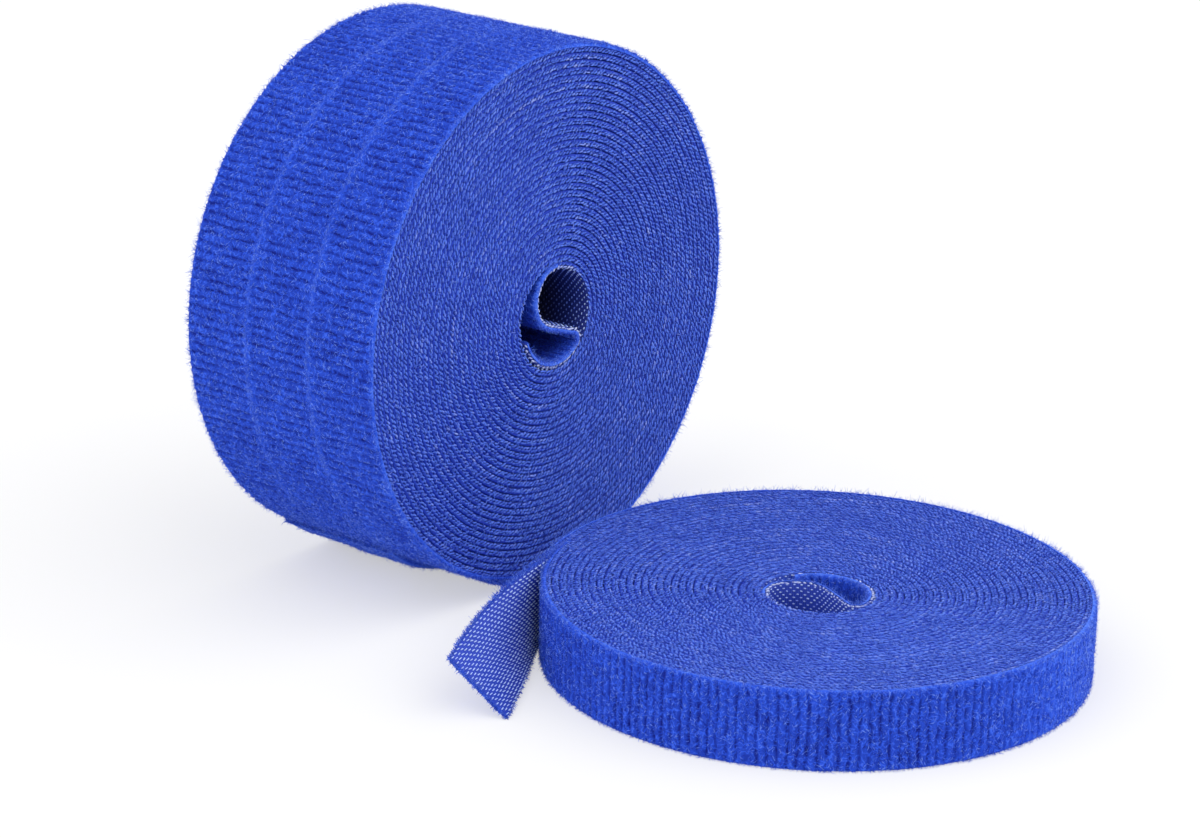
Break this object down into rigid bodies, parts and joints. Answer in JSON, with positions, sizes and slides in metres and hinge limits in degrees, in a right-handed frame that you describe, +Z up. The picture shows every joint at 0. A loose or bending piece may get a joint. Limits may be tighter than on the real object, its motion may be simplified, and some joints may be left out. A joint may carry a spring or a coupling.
{
  "type": "hook and loop tape roll set",
  "caption": "Rolls of narrow double-sided hook and loop tape, wound without a core: a stack standing on edge, and one roll lying flat with its free end peeled off.",
  "frame": {"origin": "on the surface that the rolls stand on, under the middle of the set's bounding box", "axes": "+Z up, +Y along the axis of the standing rolls from the lying roll towards the stack, +X to the right seen from the lying roll"},
  "size_m": [0.098, 0.1346, 0.089],
  "materials": {
    "wound_tape": "edges of the wound layers: rows of woven selvedge beads between bands of brushed pile, royal blue",
    "loop_web": "brushed nylon loop pile, royal blue, matt and fuzzy",
    "hook_web": "woven nylon ground with rows of fine pale hooks, violet blue, slight gloss"
  },
  "bodies": {
    "middle_roll": {"middle_roll_coil": "wound_tape", "middle_roll_eye_fold_hook_web": "hook_web", "middle_roll_eye_fold_loop_web": "loop_web"},
    "middle_roll_end": {"middle_roll_outer_end_hook_web": "hook_web", "middle_roll_outer_end_loop_web": "loop_web"},
    "front_roll": {"front_roll_coil": "wound_tape", "front_roll_eye_fold_hook_web": "hook_web", "front_roll_eye_fold_loop_web": "loop_web"},
    "front_roll_end": {"front_roll_outer_end_hook_web": "hook_web", "front_roll_outer_end_loop_web": "loop_web"},
    "rear_roll": {"rear_roll_coil": "wound_tape", "rear_roll_eye_fold_hook_web": "hook_web", "rear_roll_eye_fold_loop_web": "loop_web"},
    "rear_roll_end": {"rear_roll_outer_end_hook_web": "hook_web", "rear_roll_outer_end_loop_web": "loop_web"},
    "lying_roll": {"lying_roll_coil": "wound_tape", "lying_roll_eye_fold_hook_web": "hook_web", "lying_roll_eye_fold_loop_web": "loop_web"},
    "lying_roll_tail_base": {"lying_roll_tail_base_hook_web": "hook_web", "lying_roll_tail_base_loop_web": "loop_web"},
    "lying_roll_tail_tip": {"lying_roll_tail_tip_hook_web": "hook_web", "lying_roll_tail_tip_loop_web": "loop_web"}
  },
  "joints": [
    {"name": "front_roll_turn", "type": "hinge", "parent": "middle_roll", "child": "front_roll", "pos_m": [0.00481, 0.03494, 0.04485], "axis": [0, 1, 0], "continuous": true},
    {"name": "rear_roll_turn", "type": "hinge", "parent": "middle_roll", "child": "rear_roll", "pos_m": [0.00481, 0.06094, 0.04485], "axis": [0, 1, 0], "continuous": true},
    {"name": "lying_roll_turn", "type": "hinge", "parent": "middle_roll", "child": "lying_roll", "pos_m": [0.00511, -0.02464, 0.00635], "axis": [0, 0, 1], "range_deg": [-20, 180]},
    {"name": "front_end_peel", "type": "hinge", "parent": "front_roll", "child": "front_roll_end", "pos_m": [-0.00013, 0.03494, 0.0008], "axis": [0, -1, 0], "range_deg": [0, 8]},
    {"name": "middle_end_peel", "type": "hinge", "parent": "middle_roll", "child": "middle_roll_end", "pos_m": [-0.00622, 0.04794, 0.00186], "axis": [0, -1, 0], "range_deg": [0, 25]},
    {"name": "rear_end_peel", "type": "hinge", "parent": "rear_roll", "child": "rear_roll_end", "pos_m": [-0.00772, 0.06094, 0.00226], "axis": [0, -1, 0], "range_deg": [0, 28]},
    {"name": "tail_peel", "type": "hinge", "parent": "lying_roll", "child": "lying_roll_tail_base", "pos_m": [-0.00916, 0.01589, 0.00635], "axis": [0, 0, -1], "range_deg": [0, 28]},
    {"name": "tail_curl", "type": "hinge", "parent": "lying_roll_tail_base", "child": "lying_roll_tail_tip", "pos_m": [-0.02868, 0.00849, 0.00603], "axis": [-0.1556, 0.382, 0.911], "range_deg": [0, 25]}
  ]
}
